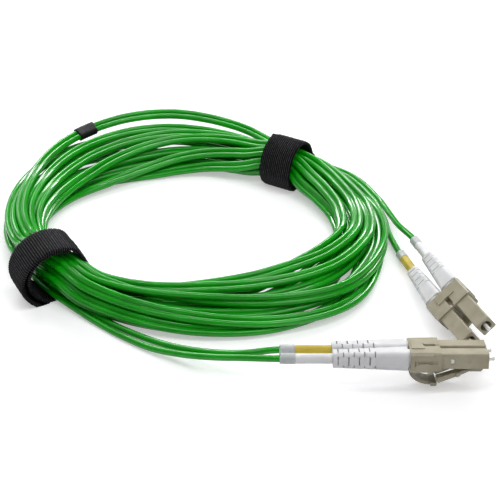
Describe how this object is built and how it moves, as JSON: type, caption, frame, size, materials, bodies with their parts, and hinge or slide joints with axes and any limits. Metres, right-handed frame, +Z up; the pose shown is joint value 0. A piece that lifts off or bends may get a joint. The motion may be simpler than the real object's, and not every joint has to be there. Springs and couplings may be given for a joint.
{
  "type": "fiber optic patch cord",
  "caption": "Duplex fibre optic patch cord wound in a flat coil and held by hook-and-loop straps, with a clipped pair of latching plugs at each end.",
  "frame": {"origin": "middle of the coil, on the surface that it lies on", "axes": "+Z up, square to the coil; +X to the right and +Y away from the viewer of the picture, the plug pairs lying to the right and in front"},
  "size_m": [0.1498, 0.1495, 0.0146],
  "materials": {
    "jacket": "satin PVC",
    "strap": "woven hook-and-loop tape",
    "marker": "matt heat-shrink",
    "beige": "fine moulded satin",
    "zirconia": "polished",
    "nickel": "nickel plated, turned",
    "buffer": "smooth",
    "spring_steel": "drawn wire",
    "crimp_metal": "drawn tube",
    "boot_white": "soft matt",
    "sleeve_white": "matt",
    "sleeve_yellow": "matt",
    "clear_sleeve": "clear heat-shrink, satin"
  },
  "bodies": {
    "base": {"zipcord_coil": "jacket", "strap_left": "strap", "strap_right": "strap", "marker_sleeve": "marker", "leg_a1": "jacket", "leg_a2": "jacket", "leg_b1": "jacket", "leg_b2": "jacket", "clip_a": "beige", "clip_b": "beige", "housing_a1": "beige", "housing_a2": "beige", "housing_b1": "beige", "housing_b2": "beige", "spring_a1": "spring_steel", "spring_a2": "spring_steel", "spring_b1": "spring_steel", "spring_b2": "spring_steel", "back_body_a1": "nickel", "back_body_a2": "nickel", "back_body_b1": "nickel", "back_body_b2": "nickel", "crimp_ring_a1": "crimp_metal", "crimp_ring_a2": "crimp_metal", "crimp_ring_b1": "crimp_metal", "crimp_ring_b2": "crimp_metal", "boot_a1": "boot_white", "boot_a2": "boot_white", "boot_b1": "boot_white", "boot_b2": "boot_white", "id_sleeve_a1": "sleeve_white", "id_sleeve_a2": "sleeve_yellow", "id_sleeve_b1": "sleeve_white", "id_sleeve_b2": "sleeve_yellow", "end_sleeve_a1": "clear_sleeve", "end_sleeve_a2": "clear_sleeve", "end_sleeve_b1": "clear_sleeve", "end_sleeve_b2": "clear_sleeve"},
    "trigger_a": {"trigger_a": "beige"},
    "trigger_b": {"trigger_b": "beige"},
    "latch_a1": {"latch_a1": "beige"},
    "ferrule_a1": {"ferrule_a1": "zirconia", "holder_a1": "nickel", "fibre_a1": "buffer"},
    "latch_a2": {"latch_a2": "beige"},
    "ferrule_a2": {"ferrule_a2": "zirconia", "holder_a2": "nickel", "fibre_a2": "buffer"},
    "latch_b1": {"latch_b1": "beige"},
    "ferrule_b1": {"ferrule_b1": "zirconia", "holder_b1": "nickel", "fibre_b1": "buffer"},
    "latch_b2": {"latch_b2": "beige"},
    "ferrule_b2": {"ferrule_b2": "zirconia", "holder_b2": "nickel", "fibre_b2": "buffer"}
  },
  "joints": [
    {"name": "trigger_a_press", "type": "hinge", "parent": "base", "child": "trigger_a", "pos_m": [0.0634, -0.08014, 0.00564], "axis": [0, -0.9703, 0.2419], "range_deg": [0, 12], "stiffness_Nm_per_rad": 0.05},
    {"name": "trigger_b_press", "type": "hinge", "parent": "base", "child": "trigger_b", "pos_m": [0.07884, -0.04986, 0.00571], "axis": [-0.7072, -0.2659, -0.6552], "range_deg": [0, 12], "stiffness_Nm_per_rad": 0.05},
    {"name": "latch_a1_flex", "type": "hinge", "parent": "base", "child": "latch_a1", "pos_m": [0.0792, -0.08303, 0.00696], "axis": [0, 0.9703, -0.2419], "range_deg": [0, 8.4], "stiffness_Nm_per_rad": 0.02},
    {"name": "latch_a2_flex", "type": "hinge", "parent": "base", "child": "latch_a2", "pos_m": [0.0792, -0.07697, 0.00545], "axis": [0, 0.9703, -0.2419], "range_deg": [0, 8.4], "stiffness_Nm_per_rad": 0.02},
    {"name": "latch_b1_flex", "type": "hinge", "parent": "base", "child": "latch_b1", "pos_m": [0.08556, -0.06413, 0.00903], "axis": [0.7072, 0.2659, 0.6552], "range_deg": [0, 8.4], "stiffness_Nm_per_rad": 0.02},
    {"name": "latch_b2_flex", "type": "hinge", "parent": "base", "child": "latch_b2", "pos_m": [0.08114, -0.0658, 0.00493], "axis": [0.7072, 0.2659, 0.6552], "range_deg": [0, 8.4], "stiffness_Nm_per_rad": 0.02},
    {"name": "ferrule_a1_slide", "type": "slide", "parent": "base", "child": "ferrule_a1", "axis": [-1, 0, 0], "range_m": [0, 0.001], "stiffness_N_per_m": 1200, "deforming": ["spring_a1"]},
    {"name": "ferrule_a2_slide", "type": "slide", "parent": "base", "child": "ferrule_a2", "axis": [-1, 0, 0], "range_m": [0, 0.001], "stiffness_N_per_m": 1200, "deforming": ["spring_a2"]},
    {"name": "ferrule_b1_slide", "type": "slide", "parent": "base", "child": "ferrule_b1", "axis": [-0.3086, 0.9498, -0.0523], "range_m": [0, 0.001], "stiffness_N_per_m": 1200, "deforming": ["spring_b1"]},
    {"name": "ferrule_b2_slide", "type": "slide", "parent": "base", "child": "ferrule_b2", "axis": [-0.3086, 0.9498, -0.0523], "range_m": [0, 0.001], "stiffness_N_per_m": 1200, "deforming": ["spring_b2"]}
  ],
  "couplings": [
    {"joint": "latch_a1_flex", "follows": "trigger_a_press", "ratio": 0.7},
    {"joint": "latch_a2_flex", "follows": "trigger_a_press", "ratio": 0.7},
    {"joint": "latch_b1_flex", "follows": "trigger_b_press", "ratio": 0.7},
    {"joint": "latch_b2_flex", "follows": "trigger_b_press", "ratio": 0.7}
  ]
}
